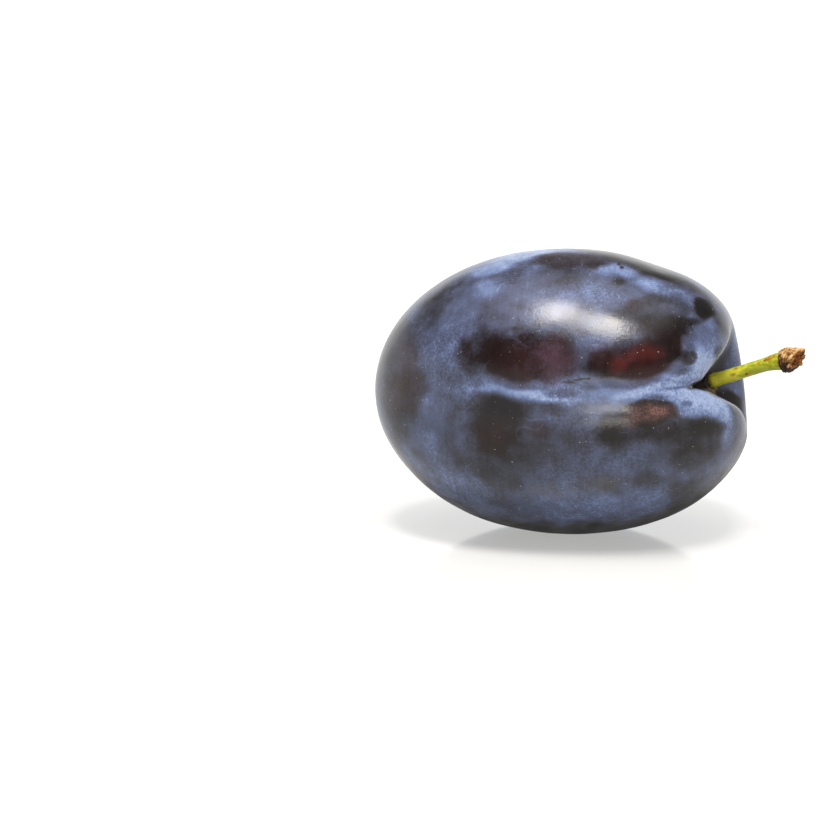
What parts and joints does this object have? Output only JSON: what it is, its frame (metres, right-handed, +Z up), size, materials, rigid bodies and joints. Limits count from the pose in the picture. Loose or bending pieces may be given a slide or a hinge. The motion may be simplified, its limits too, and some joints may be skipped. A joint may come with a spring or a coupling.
{
  "type": "plum",
  "caption": "Whole ripe European plum lying on its side, with a soft blue bloom, a seam along one flank and its cut stalk.",
  "frame": {"origin": "on the small flat spot that the fruit rests on, under its centre of mass", "axes": "+Z up, +X along the fruit towards the stalk, -Y towards the seam"},
  "size_m": [0.0602, 0.041, 0.0396],
  "materials": {
    "skin": "smooth dark skin under a waxy blue bloom, half glossy",
    "stalk": "fresh green stalk, matt, with a brown woody end"
  },
  "bodies": {
    "root": {"fruit": "skin", "stem": "stalk"}
  },
  "joints": []
}
